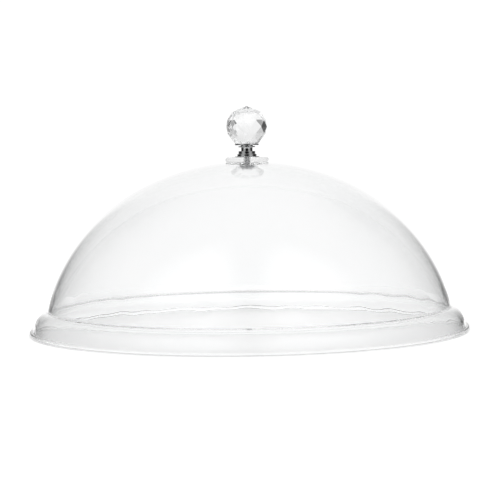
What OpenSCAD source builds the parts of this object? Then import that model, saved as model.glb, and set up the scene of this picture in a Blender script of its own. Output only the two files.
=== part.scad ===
// Clear food cover: a moulded dome with a flared rim, lifted by a faceted crystal knob on a chromed base.
// One screw from inside the dome holds the knob. The origin is the centre of the rim's foot, and Z is up.

/* [Dome] */
// Outer diameter of the rim
rim_d = 320; // [280:1:360]
// Thickness of the moulded plastic
wall = 2.4; // [1.6:0.1:3.2]
// Height of the lip round the foot of the rim
lip_h = 3.3; // [2.7:0.1:4]
// Width of the ledge that the lip leaves outside the skirt
lip_w = 1.9; // [1.4:0.1:3.2]
// Radius of the lip's rounded edges
lip_round = 1.2; // [0.4:0.1:1.3]
// Angle by which the skirt leans in from upright, in degrees
skirt_lean = 18; // [14:1:26]
// Radius of the round shoulder over the skirt
shoulder_r = 15; // [12:0.5:17]
// Height of the top of the shoulder's circle, which lies inside the wall
shoulder_h = 17.7; // [16:0.1:20]
// Distance from the top of the shoulder's circle out to the foot of the dome's wall
wall_set = 4.6; // [3:0.1:6]
// Height of the flat knob seat
seat_h = 122.6; // [108:0.2:136]
// Diameter of the flat knob seat
seat_d = 33; // [32:0.5:40]
// Radius of the arc over the crown
crown_r = 171; // [162:1:180]
// Diameter at which the crown's arc runs into the side's arc
crown_d = 150; // [120:1:155]

/* [Spacer disc] */
// Diameter of the clear disc between the dome and the knob
disc_d = 31.4; // [24:0.2:32]
// Thickness of the disc
disc_t = 3.7; // [3:0.1:6]
// Radius of the disc's rounded edges
disc_round = 1.4; // [0.4:0.1:1.6]

/* [Knob base] */
// Diameter of the thin plate under the foot
plate_d = 18; // [16:0.2:22]
// Thickness of the plate
plate_t = 0.6; // [0.5:0.1:1.2]
// Diameter of the foot's lower ring
lower_ring_d = 14.2; // [13.6:0.2:15.6]
// Height of the foot's lower ring
lower_ring_h = 1.7; // [1.2:0.1:3]
// Diameter of the foot's upper ring
upper_ring_d = 12.4; // [10:0.2:13]
// Height of the foot's upper ring
upper_ring_h = 2.1; // [1.2:0.1:3]
// Diameter of the neck
neck_d = 8.4; // [7.2:0.1:9]
// Height of the neck
neck_h = 2.7; // [2:0.1:5]
// Diameter of the collar over the neck
collar_d = 12.4; // [11:0.2:14]
// Height of the collar
collar_h = 0.9; // [0.9:0.1:2.4]
// Diameter of the groove over the collar
groove_d = 10.4; // [9.2:0.2:10.8]
// Height of the groove
groove_h = 0.6; // [0.4:0.1:1.2]
// Diameter of the flange that the crystal stands on
flange_d = 17.7; // [15:0.1:20]
// Thickness of the flange
flange_t = 1.2; // [0.9:0.1:2]
// Radius of the rounded edges of the foot's rings
ring_round = 0.2; // [0.2:0.1:0.5]
// Radius of the rounded edges of the collar and the flange
flange_round = 0.3; // [0.1:0.1:0.4]

/* [Crystal ball] */
// Diameter of the sphere that holds the facets' corners
ball_d = 30.2; // [26:0.2:36]
// Diameter across the corners of the flat under the ball
ball_flat_d = 17.2; // [14:0.2:18]
// Facets in each row
row_facets = 10; // [8:2:12]
// Turn of the ball on its flange, in degrees
ball_turn = 27; // [0:1:35]
// Depth of the hole for the bush
ball_hole_depth = 1; // [1:0.5:8]

/* [Fixing] */
// Diameter of the screw
screw_d = 4; // [3:0.5:4.5]
// Length of the screw under its head
screw_l = 16; // [14:1:16]
// Diameter of the screw's head
head_d = 7.6; // [6.6:0.2:9]
// Height of the screw's head
head_h = 2.2; // [1.8:0.1:3]
// Radius of the head's rounded edge
head_round = 1.2; // [0.4:0.1:1.6]
// Diameter of the steel washer
washer_d = 9; // [8.5:0.5:14]
// Thickness of the steel washer
washer_t = 0.8; // [0.6:0.1:1.4]
// Diameter of the soft washer against the dome
seal_d = 11; // [9.5:0.5:18]
// Thickness of the soft washer
seal_t = 0.8; // [0.6:0.1:1.6]
// Diameter of the threaded bush in the knob
bush_d = 6; // [5.6:0.1:6.4]

/* [Hidden] */
$fn = 96;

arc_steps = 24;
corner_steps = 6;
overrun = 1;

// Fits: the bare screw in its holes, its thread in the bush, the bush in the metal and in the glued crystal
screw_clearance = 0.3;
thread_clearance = 0.05;
bush_fit = 0.05;
glue_gap = 0.15;
edge_round = 0.2;

// Cross recess in the screw's head
recess_l = 4.2;
recess_w = 1;
recess_depth = 1.3;

// Spare depth of the bush's bore past the screw's end, and the bush's end chamfer
bore_spare = 1;
bush_chamfer = 0.4;

// Polar angles of the rings of facet corners, from the top of the ball down
row_angles = [45, 72, 91, 110];

// Heights of the stack on the axis
inner_seat_z = seat_h - wall;
washer_z = inner_seat_z - seal_t - washer_t;
screw_tip_z = washer_z + screw_l;
disc_top_z = seat_h + disc_t;
foot_z = disc_top_z + plate_t;
foot_h = lower_ring_h + upper_ring_h;
neck_z = foot_z + foot_h;
neck_top_h = neck_h + collar_h + groove_h + flange_t;
ball_flat_z = neck_z + neck_top_h;
ball_r = ball_d / 2;
ball_flat_drop = sqrt(pow(ball_r, 2) - pow(ball_flat_d / 2, 2));
screw_hole_d = screw_d + 2 * screw_clearance;
bush_hole_d = bush_d + 2 * bush_fit;

// Shoulder: an arc that is tangent to the leaning skirt
skirt_foot = [rim_d / 2 - lip_w, lip_h];
shoulder_z = shoulder_h - shoulder_r;
skirt_run = (shoulder_z - lip_h + shoulder_r * sin(skirt_lean)) / cos(skirt_lean);
shoulder_c = [skirt_foot[0] - skirt_run * sin(skirt_lean) - shoulder_r * cos(skirt_lean), shoulder_z];
skirt_a = 90 - skirt_lean;
shoulder_a = asin(wall_set / shoulder_r);
wall_foot = shoulder_c + shoulder_r * [sin(shoulder_a), cos(shoulder_a)];

// Crown: an arc from the seat's edge, and the side's arc, tangent to it and ending at the wall's foot
crown_c = [0, seat_h - sqrt(pow(crown_r, 2) - pow(seat_d / 2, 2))];
seat_a = asin(seat_d / 2 / crown_r);
join_a = asin(crown_d / 2 / crown_r);
join_dir = [sin(join_a), cos(join_a)];
foot_from_crown = wall_foot - crown_c;
side_r = pow(norm(foot_from_crown - crown_r * join_dir), 2) / (2 * (crown_r - foot_from_crown * join_dir));
side_c = crown_c + (crown_r - side_r) * join_dir;
side_a = polar(wall_foot - side_c);

// Inner corner: where the inner faces of the side and the shoulder cross
inner_side_r = side_r - wall;
inner_shoulder_r = shoulder_r - wall;
between = shoulder_c - side_c;
along = (pow(inner_side_r, 2) - pow(inner_shoulder_r, 2) + pow(norm(between), 2)) / (2 * norm(between));
across = sqrt(pow(inner_side_r, 2) - pow(along, 2));
unit_between = between / norm(between);
inner_corner = side_c + along * unit_between + across * [-unit_between[1], unit_between[0]];
inner_seat_a = acos((inner_seat_z - crown_c[1]) / (crown_r - wall));
inner_foot_r = skirt_foot[0] - wall / cos(skirt_lean) + lip_h * tan(skirt_lean);

// Angle of a direction in the profile's plane, from straight up towards the outside
function polar(v) = atan2(v[0], v[1]);

// Points along an arc in the profile's plane, from one such angle to another; skip leaves out the first points
function arc(centre, radius, from, to, steps = arc_steps, skip = 0) =
    [for (i = [skip : steps]) let (a = from + (to - from) * i / steps) centre + radius * [sin(a), cos(a)]];

// Rounded outside corner: the outline turns from one angle to another just inside the point given
function corner(r, z, round, from, to) = arc([r, z], round, from, to, corner_steps);

// Flat ring with rounded outer edges, standing on z = 0
module ring(d, hole_d, h, round) {
    edge = d / 2 - round;
    rotate_extrude()
        polygon(concat(
            [[hole_d / 2, 0]],
            corner(edge, round, round, 180, 90),
            corner(edge, h - round, round, 90, 0),
            [[hole_d / 2, h]]));
}

// Clear moulded cover: seat, crown, side, shoulder, skirt and lip in one wall, with the screw's hole on the axis
module dome_shell() {
    lip_edge = rim_d / 2 - lip_round;
    outside = concat(
        [[screw_hole_d / 2, seat_h]],
        arc(crown_c, crown_r, seat_a, join_a),
        arc(side_c, side_r, join_a, side_a, skip = 1),
        arc(shoulder_c, shoulder_r, shoulder_a, skirt_a, skip = 1),
        [skirt_foot],
        corner(lip_edge, lip_h - lip_round, lip_round, 0, 90),
        corner(lip_edge, lip_round, lip_round, 90, 180));
    inside = concat(
        [[inner_foot_r, 0]],
        arc(shoulder_c, inner_shoulder_r, skirt_a, polar(inner_corner - shoulder_c)),
        arc(side_c, inner_side_r, polar(inner_corner - side_c), join_a, skip = 1),
        arc(crown_c, crown_r - wall, join_a, inner_seat_a, skip = 1),
        [[screw_hole_d / 2, inner_seat_z]]);
    color([0.93, 0.95, 0.96, 0.35])
        rotate_extrude()
            polygon(concat(outside, inside));
}

// Clear disc that lifts the knob off the dome
module spacer_disc() {
    color([0.9, 0.93, 0.94, 0.5])
        translate([0, 0, seat_h])
            ring(disc_d, screw_hole_d, disc_t, disc_round);
}

// Thin chromed plate under the foot
module base_plate() {
    color("silver")
        translate([0, 0, disc_top_z])
            ring(plate_d, screw_hole_d, plate_t, edge_round);
}

// Turned and chromed foot with two stepped rings
module knob_foot() {
    lower_edge = lower_ring_d / 2 - ring_round;
    upper_edge = upper_ring_d / 2 - ring_round;
    color("gainsboro")
        translate([0, 0, foot_z])
            rotate_extrude()
                polygon(concat(
                    [[bush_hole_d / 2, 0]],
                    corner(lower_edge, ring_round, ring_round, 180, 90),
                    corner(lower_edge, lower_ring_h - ring_round, ring_round, 90, 0),
                    [[upper_ring_d / 2, lower_ring_h]],
                    corner(upper_edge, foot_h - ring_round, ring_round, 90, 0),
                    [[bush_hole_d / 2, foot_h]]));
}

// Turned and chromed neck with a collar, a groove and the flange that carries the crystal
module knob_neck() {
    groove_z = neck_h + collar_h;
    flange_z = groove_z + groove_h;
    collar_edge = collar_d / 2 - flange_round;
    flange_edge = flange_d / 2 - flange_round;
    color("silver")
        translate([0, 0, neck_z])
            rotate_extrude()
                polygon(concat(
                    [[bush_hole_d / 2, 0], [neck_d / 2, 0], [neck_d / 2, neck_h]],
                    corner(collar_edge, neck_h + flange_round, flange_round, 180, 90),
                    corner(collar_edge, groove_z - flange_round, flange_round, 90, 0),
                    [[groove_d / 2, groove_z], [groove_d / 2, flange_z]],
                    corner(flange_edge, flange_z + flange_round, flange_round, 180, 90),
                    corner(flange_edge, neck_top_h - flange_round, flange_round, 90, 0),
                    [[bush_hole_d / 2, neck_top_h]]));
}

// Ball cut in rows of triangular facets, with a flat underside and a blind hole for the bush
module crystal_ball() {
    n = row_facets;
    angles = concat(row_angles, [180 - asin(ball_flat_d / ball_d)]);
    last = len(angles) - 1;
    corners = [for (k = [0 : last]) for (i = [0 : n - 1]) let (turn = 360 * (i + (k % 2) / 2) / n)
        ball_r * [sin(angles[k]) * cos(turn), sin(angles[k]) * sin(turn), cos(angles[k])]];
    top = len(corners);
    top_facets = [for (i = [0 : n - 1]) [top, (i + 1) % n, i]];
    hanging_facets = [for (k = [0 : last - 1]) for (i = [0 : n - 1])
        [k * n + i, k * n + (i + 1) % n, (k + 1) * n + (i + k % 2) % n]];
    standing_facets = [for (k = [0 : last - 1]) for (i = [0 : n - 1])
        [(k + 1) * n + (i + 1) % n, (k + 1) * n + i, k * n + (i + 1 - k % 2) % n]];
    flat = [[for (i = [0 : n - 1]) last * n + i]];
    color([0.9, 0.93, 0.96, 0.6])
        translate([0, 0, ball_flat_z])
            difference() {
                translate([0, 0, ball_flat_drop])
                    rotate(ball_turn)
                        polyhedron(
                            points = concat(corners, [[0, 0, ball_r]]),
                            faces = concat(top_facets, hanging_facets, standing_facets, flat));
                translate([0, 0, -overrun])
                    cylinder(d = bush_d + 2 * glue_gap, h = ball_hole_depth + overrun);
            }
}

// Steel bush glued into the crystal, which passes through the neck and the foot and takes the screw
module threaded_bush() {
    bush_h = ball_flat_z + ball_hole_depth - glue_gap - foot_z;
    bore_h = screw_tip_z + bore_spare - foot_z;
    bush_r = bush_d / 2;
    color("darkgray")
        translate([0, 0, foot_z])
            difference() {
                rotate_extrude()
                    polygon([
                        [0, 0], [bush_r - bush_chamfer, 0], [bush_r, bush_chamfer],
                        [bush_r, bush_h - bush_chamfer], [bush_r - bush_chamfer, bush_h], [0, bush_h]]);
                translate([0, 0, -overrun])
                    cylinder(d = screw_d + 2 * thread_clearance, h = bore_h + overrun);
            }
}

// Soft clear washer between the dome and the steel washer
module seal_washer() {
    color([0.85, 0.87, 0.88, 0.8])
        translate([0, 0, inner_seat_z - seal_t])
            ring(seal_d, screw_hole_d, seal_t, edge_round);
}

// Steel washer under the screw's head
module flat_washer() {
    color("lightgray")
        translate([0, 0, washer_z])
            ring(washer_d, screw_hole_d, washer_t, edge_round);
}

// Pan-head screw, put in from inside the dome, with a cross recess in its head
module fixing_screw() {
    head_edge = head_d / 2 - head_round;
    shank_edge = screw_d / 2 - bush_chamfer;
    color("lightsteelblue")
        translate([0, 0, washer_z])
            difference() {
                rotate_extrude()
                    polygon(concat(
                        [[0, -head_h]],
                        corner(head_edge, head_round - head_h, head_round, 180, 90),
                        [[head_d / 2, 0], [screw_d / 2, 0], [screw_d / 2, screw_l - bush_chamfer]],
                        [[shank_edge, screw_l], [0, screw_l]]));
                for (turn = [0, 90])
                    rotate(turn)
                        translate([-recess_l / 2, -recess_w / 2, -head_h - overrun])
                            cube([recess_l, recess_w, recess_depth + overrun]);
            }
}

dome_shell();
spacer_disc();
base_plate();
knob_foot();
knob_neck();
crystal_ball();
threaded_bush();
seal_washer();
flat_washer();
fixing_screw();
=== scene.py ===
"""A clear food cover for a buffet: a moulded dome and a faceted crystal knob on a chromed base."""

import math

import bmesh
import bpy
import numpy as np
from mathutils import Matrix, Vector


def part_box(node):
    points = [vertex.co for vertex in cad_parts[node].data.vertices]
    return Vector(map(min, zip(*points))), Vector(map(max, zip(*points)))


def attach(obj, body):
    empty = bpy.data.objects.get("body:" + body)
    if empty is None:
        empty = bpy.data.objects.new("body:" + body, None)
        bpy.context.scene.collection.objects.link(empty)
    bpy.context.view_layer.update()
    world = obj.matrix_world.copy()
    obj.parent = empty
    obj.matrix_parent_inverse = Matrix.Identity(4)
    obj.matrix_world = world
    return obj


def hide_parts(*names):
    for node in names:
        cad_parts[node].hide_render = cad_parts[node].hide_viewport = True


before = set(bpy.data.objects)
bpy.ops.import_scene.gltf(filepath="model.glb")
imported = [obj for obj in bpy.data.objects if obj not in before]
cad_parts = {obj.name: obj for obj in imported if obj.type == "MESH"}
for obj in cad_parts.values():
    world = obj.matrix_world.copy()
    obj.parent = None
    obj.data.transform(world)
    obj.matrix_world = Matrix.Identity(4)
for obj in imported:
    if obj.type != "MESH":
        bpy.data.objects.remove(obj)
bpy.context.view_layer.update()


# Dome
# One clear injection-moulded wall: a flat knob seat, crown, side, round shoulder, skirt and a small lip.
# The lip stands on the table, the screw's hole is on the axis, and flow ripples stay in the inner face.
dome_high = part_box("dome_shell")[1]
rim_r = dome_high.y
seat_z = dome_high.z
wall = 0.0024
lip_h = 0.0033
lip_ledge = 0.0019  # step from the skirt's foot out to the rim
lip_round = 0.0012
lip_under = 0.0024  # how far the lip's lower edge is rounded inwards
skirt_lean = math.radians(18)
shoulder_r = 0.015
shoulder_top = 0.0177
wall_set = 0.0046  # the side meets the shoulder this far outside the shoulder's centre
seat_r = 0.0165
crown_r = 0.171
crown_join_r = 0.075  # distance from the axis where the crown runs into the side
screw_hole_r = 0.0023
edge_round = 0.0003
crease_round = 0.00005
seat_ease = 0.06
dome_segments = 300
crown_steps = 26
side_steps = 72
shoulder_steps = 30
lip_steps = 6
lip_under_steps = 12
ease_steps = 5
seat_trim = 3  # points of an arc that the round at its end takes the place of
crease_trim = 3
inner_crease_trim = 2
weld_gap = 1e-7


def heading(angle):
    """Direction in the outline of a turned piece, by its angle from straight up towards the outside."""
    return np.array((math.sin(angle), math.cos(angle)))


def angle_of(direction):
    """Angle of a direction, from straight up towards the outside."""
    return math.atan2(direction[0], direction[1])


def arc(centre, radius, start, end, steps):
    """Points along an arc in the outline's plane, both ends included."""
    return [centre + radius * heading(angle) for angle in np.linspace(start, end, steps + 1)]


def eased(before, corner, after, radius):
    """Points of a small round that stands in place of a sharp corner of an outline."""
    corner = np.asarray(corner, float)
    back = np.asarray(before, float) - corner
    on = np.asarray(after, float) - corner
    back /= np.linalg.norm(back)
    on /= np.linalg.norm(on)
    reach = radius / math.tan(math.acos(np.clip(back @ on, -1, 1)) / 2)
    weights = np.linspace(0, 1, ease_steps + 1)
    return [corner + reach * ((1 - w) ** 2 * back + w ** 2 * on) for w in weights]


skirt_foot = np.array((rim_r - lip_ledge, lip_h))
shoulder_z = shoulder_top - shoulder_r
skirt_run = (shoulder_z - lip_h + shoulder_r * math.sin(skirt_lean)) / math.cos(skirt_lean)
shoulder_out = skirt_run * math.sin(skirt_lean) + shoulder_r * math.cos(skirt_lean)
shoulder_centre = np.array((skirt_foot[0] - shoulder_out, shoulder_z))
skirt_angle = math.pi / 2 - skirt_lean
crest_angle = math.asin(wall_set / shoulder_r)
wall_foot = shoulder_centre + shoulder_r * heading(crest_angle)
crown_centre = np.array((0, seat_z - math.sqrt(crown_r ** 2 - seat_r ** 2)))
seat_angle = math.asin(seat_r / crown_r)
join_angle = math.asin(crown_join_r / crown_r)
hole_top = np.array((screw_hole_r, seat_z))
hole_foot = np.array((screw_hole_r, seat_z - wall))

# The side's arc runs on from the crown without a corner and ends at the shoulder.
to_foot = wall_foot - crown_centre
side_gap = to_foot - crown_r * heading(join_angle)
side_r = side_gap @ side_gap / (2 * (crown_r - to_foot @ heading(join_angle)))
side_centre = crown_centre + (crown_r - side_r) * heading(join_angle)
side_angle = angle_of(wall_foot - side_centre)


def lip_outline():
    """Points round the lip, from its upper edge to the ring that stands on the table."""
    upper_centre = np.array((rim_r - lip_round, lip_h - lip_round))
    under_centre = np.array((rim_r - lip_under, lip_round))
    under_radii = np.array((lip_under, lip_round))
    upper = arc(upper_centre, lip_round, 0, math.pi / 2, lip_steps)
    return upper + arc(under_centre, under_radii, math.pi / 2, math.pi, lip_under_steps)


def outer_outline(lip):
    """Points down the outside of the wall, from the screw's hole to the end of the lip."""
    seat_edge = np.array((seat_r, seat_z))
    crown = arc(crown_centre, crown_r, seat_angle, join_angle, crown_steps)
    side = arc(side_centre, side_r, join_angle, side_angle, side_steps)
    shoulder = arc(shoulder_centre, shoulder_r, crest_angle, skirt_angle, shoulder_steps)
    outline = eased(hole_foot, hole_top, seat_edge, edge_round)
    outline += eased(hole_top, seat_edge, crown[seat_trim], seat_ease)
    outline += crown[seat_trim:] + side[1:-1]
    outline += eased(side[-2], wall_foot, shoulder[crease_trim], crease_round)
    outline += shoulder[crease_trim:]
    outline += eased(shoulder[-1], skirt_foot, lip[0], edge_round)
    return outline + lip


def inner_crease():
    """Point on the inner face where the side's arc and the shoulder's arc cross."""
    inner_side_r = side_r - wall
    inner_shoulder_r = shoulder_r - wall
    between = shoulder_centre - side_centre
    span = np.linalg.norm(between)
    along = (inner_side_r ** 2 - inner_shoulder_r ** 2 + span ** 2) / (2 * span)
    across = math.sqrt(inner_side_r ** 2 - along ** 2)
    return side_centre + along * between / span + across * np.array((-between[1], between[0])) / span


def inner_outline(lip):
    """Points up the inside of the wall, from the end of the lip to the screw's hole."""
    crease = inner_crease()
    crease_angle = angle_of(crease - shoulder_centre)
    inner_seat_angle = math.acos((hole_foot[1] - crown_centre[1]) / (crown_r - wall))
    foot = np.array((skirt_foot[0] - wall / math.cos(skirt_lean) + lip_h * math.tan(skirt_lean), 0))
    shoulder = arc(shoulder_centre, shoulder_r - wall, skirt_angle, crease_angle, shoulder_steps)
    side = arc(side_centre, side_r - wall, angle_of(crease - side_centre), join_angle, side_steps)
    crown = arc(crown_centre, crown_r - wall, join_angle, inner_seat_angle, crown_steps)
    outline = eased(lip[-1], foot, shoulder[0], edge_round)
    outline += shoulder[:-inner_crease_trim]
    outline += eased(shoulder[-inner_crease_trim - 1], crease, side[1], crease_round)
    outline += side[1:] + crown[1:-seat_trim]
    outline += eased(crown[-seat_trim - 1], crown[-1], hole_foot, seat_ease)
    return outline + eased(crown[-1], hole_foot, hole_top, edge_round)


def add_piece(name, points, faces, sharp_angle=math.radians(35)):
    """New object from points and faces, smooth except where its faces meet at more than the angle given."""
    mesh = bpy.data.meshes.new(name)
    mesh.from_pydata([tuple(p) for p in points], [], faces)
    shell = bmesh.new()
    shell.from_mesh(mesh)
    bmesh.ops.remove_doubles(shell, verts=shell.verts, dist=weld_gap)
    bmesh.ops.recalc_face_normals(shell, faces=shell.faces)
    for face in shell.faces:
        face.smooth = True
    shell.to_mesh(mesh)
    shell.free()
    mesh.set_sharp_from_angle(angle=sharp_angle)
    piece = bpy.data.objects.new(name, mesh)
    bpy.context.scene.collection.objects.link(piece)
    return piece


def turned_points(outline, segments):
    """Points of an outline swept round the axis, as an array by outline point and by segment."""
    outline = np.array(outline)
    turn = np.linspace(0, 2 * math.pi, segments, endpoint=False)
    radius = outline[:, :1]
    height = np.repeat(outline[:, 1:], segments, axis=1)
    return np.stack((radius * np.cos(turn), radius * np.sin(turn), height), axis=2)


def grid_faces(rows, segments):
    """Faces between neighbouring rows of a turned piece; the last row joins the first."""
    faces = []
    for row in range(rows):
        here = row * segments
        below = (row + 1) % rows * segments
        for seg in range(segments):
            on = (seg + 1) % segments
            faces.append((here + seg, here + on, below + on, below + seg))
    return faces


# Three sets of waves, by their number round the dome and by radians of a wave for each metre of height.
ripple_depth = 0.000014
ripple_top = 0.0355  # there are no waves above this height
ripple_fade = 0.0045  # and they fade out over this much below it
slant_count = 37
slant_rise = 260
counter_count = 23
counter_rise = 410
counter_share = 0.7
counter_phase = 1.3
cell_count = 53
cell_rise = 300
cell_share = 0.6
cell_phase = 1.9


def flow_ripples(points):
    """How far points of the wall's inner face lie further out: waves that fade away up the side."""
    turn = np.arctan2(points[..., 1], points[..., 0])
    height = points[..., 2]
    waves = np.sin(slant_count * turn + slant_rise * height)
    waves += counter_share * np.sin(counter_count * turn - counter_rise * height + counter_phase)
    waves += cell_share * np.sin(cell_count * turn + cell_phase) * np.cos(cell_rise * height)
    return ripple_depth * waves * np.clip((ripple_top - height) / ripple_fade, 0, 1)


def mould_dome():
    """The dome's mesh, with its rippled inner face."""
    lip = lip_outline()
    outer = outer_outline(lip)
    points = turned_points(outer + inner_outline(lip), dome_segments)
    inner_face = points[len(outer):]
    out = inner_face[..., :2] / np.linalg.norm(inner_face[..., :2], axis=2, keepdims=True)
    inner_face[..., :2] += out * flow_ripples(inner_face)[..., None]
    return add_piece("dome", points.reshape(-1, 3), grid_faces(len(points), dome_segments))


# A colour is a scale of cloudiness and the two shades that it drifts between.
# A skin is a scale of cloudiness, the least roughness and the most.
plastic_ior = 1.49
plastic_colour = (14, (0.975, 0.98, 0.982), (0.99, 0.992, 0.992))
plastic_skin = (60, 0, 0.012)
cloud_detail = 4
cloud_low = 0.3
cloud_high = 0.7


def new_finish(name):
    """New material, its nodes and links, and its surface shader."""
    finish = bpy.data.materials.new(name)
    finish.use_nodes = True
    nodes = finish.node_tree.nodes
    return finish, nodes, finish.node_tree.links, nodes["Principled BSDF"]


def mottle(nodes, links, scale, low, high):
    """Socket with a value that drifts between low and high over the surface, in blotches of a scale."""
    place = nodes.new("ShaderNodeTexCoord")
    noise = nodes.new("ShaderNodeTexNoise")
    noise.inputs["Scale"].default_value = scale
    noise.inputs["Detail"].default_value = cloud_detail
    spread = nodes.new("ShaderNodeMapRange")
    spread.inputs["From Min"].default_value = cloud_low
    spread.inputs["From Max"].default_value = cloud_high
    spread.inputs["To Min"].default_value = low
    spread.inputs["To Max"].default_value = high
    links.new(place.outputs["Object"], noise.inputs["Vector"])
    links.new(noise.outputs["Fac"], spread.inputs["Value"])
    return spread.outputs["Result"]


def tint(nodes, links, value, dark, light):
    """Colour socket between two shades, by a value from 0 to 1."""
    ramp = nodes.new("ShaderNodeValToRGB")
    ramp.color_ramp.elements[0].color = (*dark, 1)
    ramp.color_ramp.elements[1].color = (*light, 1)
    links.new(value, ramp.inputs["Fac"])
    return ramp.outputs["Color"]


def clouded_colour(nodes, links, scale, dark, light):
    """Colour socket that drifts between two shades over the surface, in blotches of a scale."""
    return tint(nodes, links, mottle(nodes, links, scale, 0, 1), dark, light)


def clouded_finish(name, colour, skin):
    """New material with a drifting colour and skin, and its surface shader."""
    finish, nodes, links, shader = new_finish(name)
    links.new(clouded_colour(nodes, links, *colour), shader.inputs["Base Color"])
    links.new(mottle(nodes, links, *skin), shader.inputs["Roughness"])
    return finish, shader


def clear_finish(name, ior, colour, skin, clearness=1):
    """New material that lets light through and bends it."""
    finish, shader = clouded_finish(name, colour, skin)
    shader.inputs["Transmission Weight"].default_value = clearness
    shader.inputs["IOR"].default_value = ior
    return finish


dome = mould_dome()
dome.data.materials.append(clear_finish("clear dome plastic", plastic_ior, plastic_colour, plastic_skin))
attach(dome, "dome")
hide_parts("dome_shell")


# Spacer disc
# A thick moulded disc of clear plastic, a little milky inside and satin on its skin, with round edges.
# It lies on the dome's flat seat and lifts the knob off it; the screw passes through its hole.
disc_low, disc_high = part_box("spacer_disc")
disc_round = 0.0014
contact_gap = 0.00003  # keeps clear faces from lying in each other
small_segments = 128
rim_steps = 8
disc_ior = 1.08  # set low, so that the disc stays pale and even, with little bending
disc_colour = (200, (0.96, 0.965, 0.967), (0.985, 0.987, 0.988))
disc_skin = (300, 0.04, 0.1)
disc_clearness = 0.85


def round_rim(radius, foot_z, top_z, edge):
    """Points round the outer edge of a flat ring, from its top face to its underside."""
    rim = arc(np.array((radius - edge, top_z - edge)), edge, 0, math.pi / 2, rim_steps)
    return rim + arc(np.array((radius - edge, foot_z + edge)), edge, math.pi / 2, math.pi, rim_steps)


def washer_outline(low, high, hole_r, edge):
    """Outline of a flat ring, a hair thinner than its place, with round outer edges and a softened hole."""
    top = np.array((hole_r, high.z - contact_gap))
    foot = np.array((hole_r, low.z + contact_gap))
    rim = round_rim(high.x, foot[1], top[1], edge)
    softening = min(edge, edge_round) / 2
    return eased(foot, top, rim[0], softening) + rim + eased(rim[-1], foot, top, softening)


def turned_piece(name, outline):
    """Small object made by turning a closed outline round the axis."""
    points = turned_points(outline, small_segments).reshape(-1, 3)
    return add_piece(name, points, grid_faces(len(outline), small_segments))


disc_plastic = clear_finish("soft disc plastic", disc_ior, disc_colour, disc_skin, disc_clearness)
disc = turned_piece("spacer", washer_outline(disc_low, disc_high, screw_hole_r, disc_round))
disc.data.materials.append(disc_plastic)
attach(disc, "dome")
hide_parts("spacer_disc")


# Knob base
# A thin plate, a foot with two stepped rings, and a neck with a collar and a flange, of chromed brass.
# They are turned, stacked on the bush, and drawn down on the disc by the screw.
plate_low, plate_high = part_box("base_plate")
foot_low, foot_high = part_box("knob_foot")
neck_low, neck_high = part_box("knob_neck")
plate_round = 0.0002
ring_round = 0.0002
lower_ring_h = 0.0017
upper_ring_r = 0.0062
neck_r = 0.0042
neck_h = 0.0027
collar_r = 0.0062
collar_h = 0.0009
groove_r = 0.0046
groove_h = 0.0006
flange_round = 0.0003
bush_hole_r = 0.00305
chrome_colour = (400, (0.47, 0.475, 0.48), (0.57, 0.575, 0.58))
chrome_skin = (900, 0.02, 0.05)


def foot_outline():
    """Outline of the foot: a wide ring under a narrower one, with rounded edges."""
    step_z = foot_low.z + lower_ring_h
    step = np.array((upper_ring_r, step_z))
    lower = round_rim(foot_high.x, foot_low.z, step_z, ring_round)
    upper_centre = np.array((upper_ring_r - ring_round, foot_high.z - ring_round))
    upper = arc(upper_centre, ring_round, 0, math.pi / 2, rim_steps)
    inside = [np.array((bush_hole_r, foot_low.z)), np.array((bush_hole_r, foot_high.z))]
    return upper + eased(upper[-1], step, lower[0], edge_round / 2) + lower + inside


def neck_outline():
    """Outline of the neck, the collar and the groove over it, and the flange that carries the crystal."""
    collar_z = neck_low.z + neck_h
    groove_z = collar_z + collar_h
    flange_z = groove_z + groove_h
    flange_top = neck_high.z - contact_gap
    flange = round_rim(neck_high.x, flange_z, flange_top, flange_round)
    collar = round_rim(collar_r, collar_z, groove_z, flange_round)
    groove = [np.array((groove_r, flange_z)), np.array((groove_r, groove_z))]
    under = np.array((neck_r, collar_z))
    foot = np.array((neck_r, neck_low.z))
    inside = [np.array((bush_hole_r, neck_low.z)), np.array((bush_hole_r, flange_top))]
    return flange + groove + collar + eased(collar[-1], under, foot, flange_round) + [foot] + inside


chrome, chrome_shader = clouded_finish("chrome plating", chrome_colour, chrome_skin)
chrome_shader.inputs["Metallic"].default_value = 1
plate = turned_piece("knob_plate", washer_outline(plate_low, plate_high, screw_hole_r, plate_round))
foot = turned_piece("knob_rings", foot_outline())
neck = turned_piece("knob_waist", neck_outline())
for part, node in ((plate, "base_plate"), (foot, "knob_foot"), (neck, "knob_neck")):
    part.data.materials.append(chrome)
    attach(part, "knob")
    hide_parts(node)


# Crystal ball
# A ball of clear crystal, cut with rows of ground and polished triangular facets and a flat underside.
# The flat sits on the flange, and a blind hole drilled in it takes the bush, which is glued in.
ball_low, ball_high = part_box("crystal_ball")
ball_r = 0.0151
ball_flat_r = 0.0086
ball_centre_z = ball_high.z - ball_r
row_facets = 10
ball_turn = math.radians(27)
row_angles = [math.radians(angle) for angle in (45, 72, 91, 110)]
flat_angle = math.pi - math.asin(ball_flat_r / ball_r)
ball_hole_r = 0.00315
ball_hole_depth = 0.001
hole_steps = 4
hole_margin = 0.0003
facet_edge = 0.00009
facet_sharp = math.radians(1)
least_facet_angle = math.radians(3)
crystal_ior = 1.52
crystal_colour = (120, (0.95, 0.952, 0.955), (0.97, 0.972, 0.975))
crystal_skin = (500, 0, 0.008)


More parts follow.
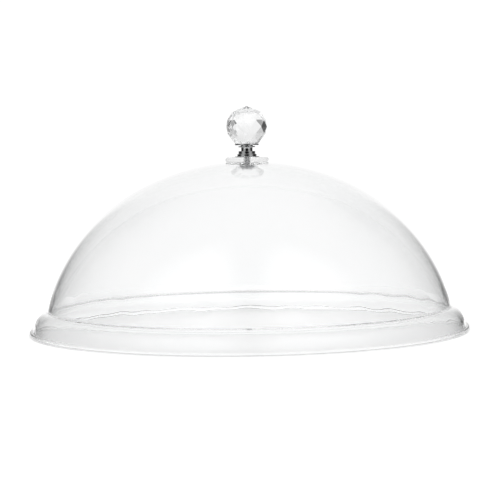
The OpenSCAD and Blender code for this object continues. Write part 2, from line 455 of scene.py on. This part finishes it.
def ball_corners():
    """Corners of the facets: rings of points on a sphere, each turned half a facet from the one above."""
    corners = []
    for row, angle in enumerate(row_angles + [flat_angle]):
        out = ball_r * math.sin(angle)
        z = ball_centre_z + ball_r * math.cos(angle)
        for i in range(row_facets):
            turn = ball_turn + 2 * math.pi * (i + row % 2 / 2) / row_facets
            corners.append((out * math.cos(turn), out * math.sin(turn), z))
    return corners


def ball_facets():
    """Facets between the rings, by the corners' places in the list; the top follows the last ring."""
    n = row_facets
    rows = len(row_angles)
    top = (rows + 1) * n
    facets = [(top, i, (i + 1) % n) for i in range(n)]
    for row in range(rows):
        lag = row % 2
        for i in range(n):
            facets.append((row * n + i, (row + 1) * n + (i + lag) % n, row * n + (i + 1) % n))
            facets.append(((row + 1) * n + i, (row + 1) * n + (i + 1) % n, row * n + (i + 1 - lag) % n))
    return facets


def drill_hole(points, faces):
    """Adds the flat underside and its blind hole to the ball's points and faces."""
    last_ring = len(row_angles) * row_facets
    hole_points = hole_steps * row_facets
    start = len(points)
    flat_turn = ball_turn + len(row_angles) % 2 * math.pi / row_facets
    for z in (ball_low.z, ball_low.z + ball_hole_depth):
        for i in range(hole_points):
            turn = flat_turn + 2 * math.pi * i / hole_points
            points.append((ball_hole_r * math.cos(turn), ball_hole_r * math.sin(turn), z))
    for i in range(row_facets):
        near_hole = [start + (hole_steps * i + step) % hole_points for step in range(hole_steps + 1)]
        faces.append([last_ring + i, last_ring + (i + 1) % row_facets] + near_hole[::-1])
    for i in range(hole_points):
        on = (i + 1) % hole_points
        faces.append((start + i, start + on, start + hole_points + on, start + hole_points + i))
    faces.append(range(start + hole_points, start + 2 * hole_points))


def dull_edges(piece):
    """Takes a hair off the facets' edges, but not off the hole's, and leaves every facet flat."""
    grind = bmesh.new()
    grind.from_mesh(piece.data)
    facet_edges = []
    for edge in grind.edges:
        reach = max(math.hypot(*corner.co[:2]) for corner in edge.verts)
        if reach > ball_hole_r + hole_margin and edge.calc_face_angle(0) > least_facet_angle:
            facet_edges.append(edge)
    bmesh.ops.bevel(grind, geom=facet_edges, offset=facet_edge, segments=1, affect="EDGES", profile=0.5)
    for face in grind.faces:
        face.smooth = False
    grind.to_mesh(piece.data)
    grind.free()


ball_points = ball_corners() + [(0, 0, ball_high.z)]
ball_faces = ball_facets()
drill_hole(ball_points, ball_faces)
ball = add_piece("crystal", ball_points, ball_faces, facet_sharp)
dull_edges(ball)
ball.data.materials.append(clear_finish("cut crystal", crystal_ior, crystal_colour, crystal_skin))
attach(ball, "knob")
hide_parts("crystal_ball")


# Threaded bush
# A turned steel tube, glued into the crystal, that carries the neck and the foot and takes the screw.
# It is a plain tube, so its solid is used as it is, with a new finish.
ring_scale = 2400
ring_wobble = 1.5
steel_skin_scale = 700
bush_shades = ((0.4, 0.4, 0.41), (0.52, 0.52, 0.53))
bush_roughness = (0.2, 0.32)


def ringed_steel(name, shades, roughness):
    """Plain steel with fine rings round its axis, between two shades and two degrees of roughness."""
    finish, nodes, links, shader = new_finish(name)
    shader.inputs["Metallic"].default_value = 1
    place = nodes.new("ShaderNodeTexCoord")
    rings = nodes.new("ShaderNodeTexWave")
    rings.wave_type = "RINGS"
    rings.rings_direction = "Z"
    rings.inputs["Scale"].default_value = ring_scale
    rings.inputs["Distortion"].default_value = ring_wobble
    links.new(place.outputs["Object"], rings.inputs["Vector"])
    links.new(tint(nodes, links, rings.outputs["Fac"], *shades), shader.inputs["Base Color"])
    links.new(mottle(nodes, links, steel_skin_scale, *roughness), shader.inputs["Roughness"])
    return finish


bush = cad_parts["threaded_bush"]
bush.data.materials.clear()
bush.data.materials.append(ringed_steel("bush steel", bush_shades, bush_roughness))


# Soft washer
# A milky silicone ring, punched from sheet, that keeps the steel washer off the plastic and seals the hole.
# It lies against the seat's underside.
seal_low, seal_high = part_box("seal_washer")
seal_round = 0.0002
silicone_ior = 1.41
silicone_colour = (500, (0.8, 0.81, 0.81), (0.88, 0.89, 0.89))
silicone_skin = (800, 0.25, 0.4)
silicone_clearness = 0.8

silicone = clear_finish("clear silicone", silicone_ior, silicone_colour, silicone_skin, silicone_clearness)
seal = turned_piece("soft_washer", washer_outline(seal_low, seal_high, screw_hole_r, seal_round))
seal.data.materials.append(silicone)
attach(seal, "dome")
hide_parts("seal_washer")


# Steel washer
# A plain stamped washer under the screw's head, tumbled so that its outer edges are round.
# The screw clamps it against the soft washer.
washer_low, washer_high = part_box("flat_washer")
stamped_round = 0.00025
washer_shades = ((0.88, 0.88, 0.89), (0.95, 0.95, 0.96))
washer_roughness = (0.32, 0.45)

washer = turned_piece("steel_washer", washer_outline(washer_low, washer_high, screw_hole_r, stamped_round))
washer.data.materials.append(ringed_steel("washer steel", washer_shades, washer_roughness))
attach(washer, "washer")
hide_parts("flat_washer")


# Fixing screw
# A steel pan-head machine screw, put in from inside the dome, with a rolled thread and a cross recess.
# It runs through the washers, the dome and the disc, and holds the knob by the bush.
screw_low, screw_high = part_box("fixing_screw")
screw_r = 0.002
screw_pitch = 0.0007
thread_depth = 0.0004
thread_flat = 0.1  # share of the half pitch that is flat at the crest, and again at the root
screw_tip = 0.0004
head_h = 0.0022
head_round = 0.0012
head_steps = 10
recess_r = 0.0021
recess_half_w = 0.0005
recess_depth = 0.0013
recess_taper = 0.6
thread_turn_steps = 48
thread_rise_steps = 8
screw_sharp = math.radians(40)
screw_shades = ((0.86, 0.86, 0.87), (0.95, 0.95, 0.96))
screw_roughness = (0.3, 0.42)


def threaded_shank(head_z):
    """Rows of points of the shank, from head to tip: a helical thread that starts and ends gently."""
    rows = round((screw_high.z - head_z) / screw_pitch * thread_rise_steps)
    heights = np.linspace(head_z, screw_high.z, rows + 1)[:, None]
    turn = np.linspace(0, 2 * math.pi, thread_turn_steps, endpoint=False)
    phase = (heights - head_z) / screw_pitch - turn / (2 * math.pi)
    valley = np.abs(2 * (phase % 1) - 1)
    cut = thread_depth * np.clip((valley - thread_flat) / (1 - 2 * thread_flat), 0, 1)
    cut *= np.clip((heights - head_z) / screw_pitch, 0, 1)
    taper = np.clip(heights - screw_high.z + screw_tip, 0, screw_tip)
    radius = screw_r - np.maximum(cut, taper)
    levels = np.repeat(heights, thread_turn_steps, axis=1)
    return np.stack((radius * np.cos(turn), radius * np.sin(turn), levels), axis=2)


def forge_screw():
    """The screw with a plain pan head and the threaded shank."""
    head_r = screw_high.x
    head_z = screw_low.z + head_h
    crown_middle = np.array((head_r - head_round, screw_low.z + head_round))
    crown = arc(crown_middle, head_round, math.pi / 2, math.pi, head_steps)
    head = [np.array((0, screw_low.z))] + crown[::-1]
    head += eased(crown[0], (head_r, head_z), (screw_r, head_z), edge_round)
    head_rows = turned_points(head, thread_turn_steps)
    end_row = turned_points([(0, screw_high.z)], thread_turn_steps)
    points = np.concatenate((head_rows, threaded_shank(head_z), end_row))
    faces = grid_faces(len(points), thread_turn_steps)
    return add_piece("screw", points.reshape(-1, 3), faces, screw_sharp)


def cross_punch():
    """Punch for the recess: a cross that narrows towards its end in the head."""
    half = recess_half_w
    reach = recess_r
    cross = [(reach, -half), (reach, half), (half, half), (half, reach), (-half, reach), (-half, half)]
    cross += [(-x, -y) for x, y in cross]
    points = [(x, y, screw_low.z - recess_depth) for x, y in cross]
    points += [(x * recess_taper, y * recess_taper, screw_low.z + recess_depth) for x, y in cross]
    count = len(cross)
    sides = [(i, (i + 1) % count, count + (i + 1) % count, count + i) for i in range(count)]
    return add_piece("punch", points, sides + [range(count), range(count, 2 * count)])


def press_recess(piece):
    """Presses the cross recess into the screw's head."""
    punch = cross_punch()
    press = piece.modifiers.new("recess", "BOOLEAN")
    press.object = punch
    press.operation = "DIFFERENCE"
    pressed = piece.evaluated_get(bpy.context.evaluated_depsgraph_get())
    piece.data = bpy.data.meshes.new_from_object(pressed)
    piece.modifiers.clear()
    bpy.data.objects.remove(punch)


screw = forge_screw()
press_recess(screw)
screw.data.materials.clear()
screw.data.materials.append(ringed_steel("screw steel", screw_shades, screw_roughness))
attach(screw, "screw")
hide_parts("fixing_screw")


# Floor
# A plain white table top under the cover, painted matt, whose glow is painted light. It is wide at the
# sides and in front.
# Its back edge is a bow round the cover, short of the paper that hangs behind.
floor_r = 0.42
floor_half_w = 1.4
floor_back_y = 0.2
floor_drop = 0.0001  # keeps the table clear of the lip
bow_steps = 192
floor_colour = (3, (0.9, 0.9, 0.9), (0.92, 0.92, 0.92))
floor_rough = 0.9
floor_gloss = 0.1

# Painted light by the distance from the axis, slightly darker round the axis, with a narrow dark ring of
# painted contact shadow where the lip meets the table.
painted_near_light_and_shadow = [
    (0, 0.52),
    (0.1, 0.56),
    (rim_r - 0.002, 0.56),
    (rim_r - 0.0014, 0.34),
    (rim_r - 0.0003, 0.34),
    (rim_r + 0.0005, 0.55),
    (floor_r, 0.55),
]

# Painted shade behind the cover: brightness by the distance to either side, and the depths between which it
# takes over.
far_painted_shade = [(0, 0.4), (0.12, 0.36), (0.165, 0.37), (0.185, 0.55), (floor_r, 0.55)]
far_depth = (0.12, 0.2)


def brightness_ramp(nodes, links, value, stops, span):
    """Colour socket whose brightness follows a list of places and brightnesses along a value's span."""
    spread = nodes.new("ShaderNodeMapRange")
    spread.inputs["From Max"].default_value = span
    ramp = nodes.new("ShaderNodeValToRGB")
    marks = ramp.color_ramp.elements
    marks.remove(marks[1])
    for place, brightness in stops:
        mark = marks.new(place / span) if place else marks[0]
        mark.color = (brightness, brightness, brightness, 1)
    links.new(value, spread.inputs["Value"])
    links.new(spread.outputs["Result"], ramp.inputs["Fac"])
    return ramp.outputs["Color"]


def sum_of(nodes, links, operation, first, second=None):
    """Socket with the result of a sum on one or two values."""
    result = nodes.new("ShaderNodeMath")
    result.operation = operation
    links.new(first, result.inputs[0])
    if second:
        links.new(second, result.inputs[1])
    return result.outputs["Value"]


def blend_between(nodes, links, value, start, end, near, far):
    """Colour socket that goes from one colour to another while a value goes from start to end."""
    share = nodes.new("ShaderNodeMapRange")
    share.inputs["From Min"].default_value = start
    share.inputs["From Max"].default_value = end
    blend = nodes.new("ShaderNodeMix")
    blend.data_type = "RGBA"
    links.new(value, share.inputs["Value"])
    links.new(share.outputs["Result"], blend.inputs["Factor"])
    links.new(near, blend.inputs["A"])
    links.new(far, blend.inputs["B"])
    return blend.outputs["Result"]


def floor_with_painted_light():
    """Matt white paint with very faint cloudiness and a glow of painted light, less bright behind the cover
    where shade is painted, with a painted contact shadow under the lip.
    """
    finish, nodes, links, shader = new_finish("white floor with painted light")
    links.new(clouded_colour(nodes, links, *floor_colour), shader.inputs["Base Color"])
    place = nodes.new("ShaderNodeTexCoord")
    distance = nodes.new("ShaderNodeVectorMath")
    distance.operation = "LENGTH"
    links.new(place.outputs["Object"], distance.inputs[0])
    axes = nodes.new("ShaderNodeSeparateXYZ")
    links.new(place.outputs["Object"], axes.inputs["Vector"])
    off_middle = sum_of(nodes, links, "ABSOLUTE", axes.outputs["X"])
    near = brightness_ramp(nodes, links, distance.outputs["Value"], painted_near_light_and_shadow, floor_r)
    far = brightness_ramp(nodes, links, off_middle, far_painted_shade, floor_r)
    glow = blend_between(nodes, links, axes.outputs["Y"], *far_depth, near, far)
    # The glow is painted light on the table, with painted shade and a painted contact shadow in it.
    links.new(glow, shader.inputs["Emission Color"])
    shader.inputs["Emission Strength"].default_value = 1
    shader.inputs["Roughness"].default_value = floor_rough
    shader.inputs["Specular IOR Level"].default_value = floor_gloss
    return finish


bow_angle = math.acos(floor_back_y / floor_r)
bow = arc(np.zeros(2), floor_r, -bow_angle, bow_angle, bow_steps)
floor_edge = [(*point, -floor_drop) for point in bow]
for side, y in ((1, floor_back_y), (1, -floor_half_w), (-1, -floor_half_w), (-1, floor_back_y)):
    floor_edge.append((side * floor_half_w, y, -floor_drop))
floor = add_piece("floor", floor_edge, [range(len(floor_edge))])
floor.data.materials.append(floor_with_painted_light())


# Backdrop
# A sheet of white paper hung behind the table, lit in the middle and at its foot and darker at its sides.
# It lights the cover but is left out of the camera's own view, so that it blocks no other view.
backdrop_y = 0.55
backdrop_half_w = 0.75
backdrop_low = -0.15
backdrop_high = 0.9

# Brightness by the distance from the paper's middle, and the heights between which one list gives way.
backdrop_foot = [(0, 1.06), (0.26, 1.03), (0.34, 0.45), (0.42, 0.12), (0.58, 0)]
backdrop_head = [(0, 0.9), (0.25, 0.84), (0.42, 0.66), (0.6, 0.42), (0.75, 0.34)]
backdrop_blend = (0.05, 0.42)
paper_foot = [(0, 1.05)]
paper_foot_blend = (-0.02, 0.005)


def lit_paper():
    """White paper that glows as if lit, by the distance from its middle and by the height."""
    finish, nodes, links, shader = new_finish("lit paper")
    place = nodes.new("ShaderNodeTexCoord")
    axes = nodes.new("ShaderNodeSeparateXYZ")
    links.new(place.outputs["Object"], axes.inputs["Vector"])
    off_middle = sum_of(nodes, links, "ABSOLUTE", axes.outputs["X"])
    low = brightness_ramp(nodes, links, off_middle, backdrop_foot, backdrop_half_w)
    high = brightness_ramp(nodes, links, off_middle, backdrop_head, backdrop_half_w)
    glow = blend_between(nodes, links, axes.outputs["Z"], *backdrop_blend, low, high)
    foot_glow = brightness_ramp(nodes, links, off_middle, paper_foot, backdrop_half_w)
    glow = blend_between(nodes, links, axes.outputs["Z"], *paper_foot_blend, foot_glow, glow)
    links.new(glow, shader.inputs["Emission Color"])
    shader.inputs["Emission Strength"].default_value = 1
    shader.inputs["Base Color"].default_value = (0, 0, 0, 1)
    shader.inputs["Specular IOR Level"].default_value = 0
    return finish


backdrop_corners = [
    (-backdrop_half_w, backdrop_y, backdrop_low),
    (backdrop_half_w, backdrop_y, backdrop_low),
    (backdrop_half_w, backdrop_y, backdrop_high),
    (-backdrop_half_w, backdrop_y, backdrop_high),
]
backdrop = add_piece("backdrop", backdrop_corners, [range(len(backdrop_corners))])
backdrop.data.materials.append(lit_paper())
backdrop.visible_camera = False


# Studio light
# A light tent round the cover: rings by the angle from the backdrop, each by the lean from upright.
# Dark wings stand beside the backdrop, two soft boxes hang in front, and the camera's gap is dark.
scene = bpy.context.scene
tent = bpy.data.worlds.new("light tent")
scene.world = tent
tent.use_nodes = True
tent_nodes = tent.node_tree.nodes
tent_links = tent.node_tree.links
white_ground = 1.06  # what the camera sees behind everything
light_passes = 256  # clear walls need many, or light is lost in them
half_turn = 180

# Brightness by degrees of lean, and the rings by degrees from the backdrop.
rear_wing = [(0, 0.9), (17, 0.84), (28, 0.66), (37, 0.45), (50, 0.3), (70, 0.12), (98, 0.04), (106, 1.1)]
side_wing = [(0, 0.3), (40, 0.35), (60, 0.4), (75, 0.2), (82, 0.02), (98, 0.02), (106, 1.1)]
soft_boxes = [(18, 1.2), (45, 1.3), (62, 0.9), (76, 0.55), (84, 0.58), (98, 0.58), (108, 0.9)]
front_boxes = [(0, 0.2), (5, 0.25)] + soft_boxes
low_boxes = [(0, 0.6), (5, 0.65)] + soft_boxes
camera_gap = [(0, 0.5), (20, 0.5), (50, 0.4), (75, 0.004)]
behind_camera = [(0, 0.004)]
tent_rings = [
    (56, rear_wing),
    (98, side_wing),
    (116, front_boxes),
    (146, low_boxes),
    (158, camera_gap),
    (168, behind_camera),
]


def pitch_tent():
    """Joins the rings of the tent into the world's light. The camera itself sees plain white all round."""
    place = tent_nodes.new("ShaderNodeTexCoord")
    axes = tent_nodes.new("ShaderNodeSeparateXYZ")
    tent_links.new(place.outputs["Generated"], axes.inputs["Vector"])
    off_axis = sum_of(tent_nodes, tent_links, "ARCCOSINE", axes.outputs["Y"])
    off_axis = sum_of(tent_nodes, tent_links, "DEGREES", off_axis)
    lean = sum_of(tent_nodes, tent_links, "ARCTAN2", axes.outputs["X"], axes.outputs["Z"])
    lean = sum_of(tent_nodes, tent_links, "ABSOLUTE", lean)
    lean = sum_of(tent_nodes, tent_links, "DEGREES", lean)
    nearer, stops = tent_rings[0]
    light = brightness_ramp(tent_nodes, tent_links, lean, stops, half_turn)
    for degrees, stops in tent_rings[1:]:
        ring = brightness_ramp(tent_nodes, tent_links, lean, stops, half_turn)
        light = blend_between(tent_nodes, tent_links, off_axis, nearer, degrees, light, ring)
        nearer = degrees
    path = tent_nodes.new("ShaderNodeLightPath")
    seen = tent_nodes.new("ShaderNodeMix")
    seen.data_type = "RGBA"
    seen.inputs["B"].default_value = (white_ground, white_ground, white_ground, 1)
    tent_links.new(path.outputs["Is Camera Ray"], seen.inputs["Factor"])
    tent_links.new(light, seen.inputs["A"])
    tent_links.new(seen.outputs["Result"], tent_nodes["Background"].inputs["Color"])


pitch_tent()
scene.view_settings.view_transform = "Standard"
scene.cycles.max_bounces = light_passes
scene.cycles.transmission_bounces = light_passes
scene.cycles.glossy_bounces = light_passes
scene.cycles.transparent_max_bounces = light_passes


# Camera
# It stands a little over a metre in front, just above the height of the knob's foot, and leans slightly.
camera_at = Vector((0, -1.2, 0.1302))
camera_aim = Vector((0.00116, 0, 0.05844))
camera_roll = -0.0154
camera_lens = 118.34
camera_sensor = 36


def set_camera():
    """The camera, turned to its aim and rolled about its line of sight."""
    sight = (camera_aim - camera_at).normalized()
    level = sight.cross(Vector((0, 0, 1))).normalized()
    upright = level.cross(sight)
    right = math.cos(camera_roll) * level + math.sin(camera_roll) * upright
    up = math.cos(camera_roll) * upright - math.sin(camera_roll) * level
    lens = bpy.data.cameras.new("camera")
    lens.lens = camera_lens
    lens.sensor_width = camera_sensor
    camera = bpy.data.objects.new("camera", lens)
    scene.collection.objects.link(camera)
    camera.matrix_world = Matrix.Translation(camera_at) @ Matrix((right, up, -sight)).transposed().to_4x4()
    scene.camera = camera


set_camera()
